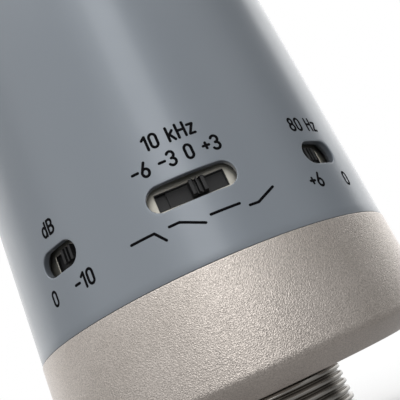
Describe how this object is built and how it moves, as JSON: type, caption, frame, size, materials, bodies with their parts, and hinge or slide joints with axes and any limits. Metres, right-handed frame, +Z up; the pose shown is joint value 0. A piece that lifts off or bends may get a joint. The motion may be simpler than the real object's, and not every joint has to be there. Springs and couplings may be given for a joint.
{
  "type": "studio microphone",
  "caption": "Side-address large-diaphragm studio microphone: a painted tube on a threaded collar, with slide switches and a wire-mesh head.",
  "frame": {"origin": "centre of the stand collar's lower end, which is the lowest point of the microphone", "axes": "+Z up along the tube to the mesh head; the address side faces -Y, and the switches face +Y"},
  "size_m": [0.0636, 0.0636, 0.2022],
  "materials": {
    "grey_paint": "satin blue-grey enamel over a drawn metal tube",
    "bright_nickel": "polished nickel plate",
    "wrinkle_nickel": "cast metal with a coarse orange-peel surface, plated with warm satin nickel",
    "thread_nickel": "turned metal, plated with nickel",
    "black_steel": "black oxide steel screws",
    "black_plastic": "moulded, matte",
    "gold_contact": "gold plated",
    "bare_aluminium": "milled, unpainted",
    "zinc_steel": "bright zinc plate",
    "circuit_board": "glass-fibre board with a green solder mask",
    "shield_can": "drawn shielding can",
    "red_film": "dipped epoxy",
    "blue_sleeve": "shrink sleeve",
    "tan_enamel": "enamel over a carbon film",
    "blue_plastic": "moulded",
    "red_wire": "PVC insulation",
    "white_wire": "PTFE insulation",
    "switch_nickel": "nickel-plated sheet",
    "knob_plastic": "moulded, with fine ribs",
    "mesh_nickel": "woven wire, nickel plated",
    "fine_mesh": "fine woven wire",
    "isolator_rubber": "soft black rubber",
    "white_polymer": "machined acetal",
    "dark_polymer": "glass-filled nylon",
    "capsule_brass": "lapped and lacquered",
    "gold_film": "gold-sputtered film"
  },
  "bodies": {
    "microphone": {"body_tube": "grey_paint", "front_badge": "bright_nickel", "base_ring": "wrinkle_nickel", "stand_collar": "thread_nickel", "base_screws": "black_steel", "socket_insert": "black_plastic", "contact_pins": "gold_contact", "insert_screw": "black_steel", "chassis_floor": "bare_aluminium", "rail_left": "bare_aluminium", "rail_right": "bare_aluminium", "rail_screws": "zinc_steel", "head_plate": "bare_aluminium", "main_board": "circuit_board", "board_screws": "zinc_steel", "output_transformer": "shield_can", "transformer_strap": "zinc_steel", "strap_screws": "zinc_steel", "film_capacitors": "red_film", "electrolytic_capacitors": "blue_sleeve", "resistors": "tan_enamel", "input_transistor": "black_plastic", "gain_trimmer": "blue_plastic", "output_leads": "red_wire", "switch_bracket": "bare_aluminium", "bracket_screws": "zinc_steel", "switch_boards": "circuit_board", "pad_switch_frame": "switch_nickel", "tone_switch_frame": "switch_nickel", "mode_switch_frame": "switch_nickel", "pad_switch_housing": "black_plastic", "tone_switch_housing": "black_plastic", "mode_switch_housing": "black_plastic", "switch_terminals": "gold_contact", "head_ring": "wrinkle_nickel", "head_screws": "zinc_steel", "outer_mesh": "mesh_nickel", "inner_mesh": "fine_mesh", "crown_ring": "wrinkle_nickel", "mesh_post_left": "wrinkle_nickel", "mesh_post_right": "wrinkle_nickel", "dome_mesh": "mesh_nickel", "deck_isolator": "isolator_rubber", "capsule_deck": "white_polymer", "capsule_saddle": "dark_polymer", "saddle_screws": "zinc_steel", "capsule_body": "capsule_brass", "front_diaphragm": "gold_film", "back_diaphragm": "gold_film", "front_clamp_ring": "capsule_brass", "back_clamp_ring": "capsule_brass", "ring_screws": "zinc_steel", "capsule_leads": "white_wire"},
    "pad_knob": {"pad_slider": "knob_plastic"},
    "tone_knob": {"tone_slider": "knob_plastic"},
    "mode_knob": {"mode_slider": "knob_plastic"}
  },
  "joints": [
    {"name": "pad_switch", "type": "slide", "parent": "microphone", "child": "pad_knob", "axis": [0.766, -0.6428, 0], "range_m": [0, 0.002]},
    {"name": "tone_switch", "type": "slide", "parent": "microphone", "child": "tone_knob", "axis": [1, 0, 0], "range_m": [-0.002, 0.004]},
    {"name": "mode_switch", "type": "slide", "parent": "microphone", "child": "mode_knob", "axis": [0.766, 0.6428, 0], "range_m": [-0.002, 0]}
  ]
}
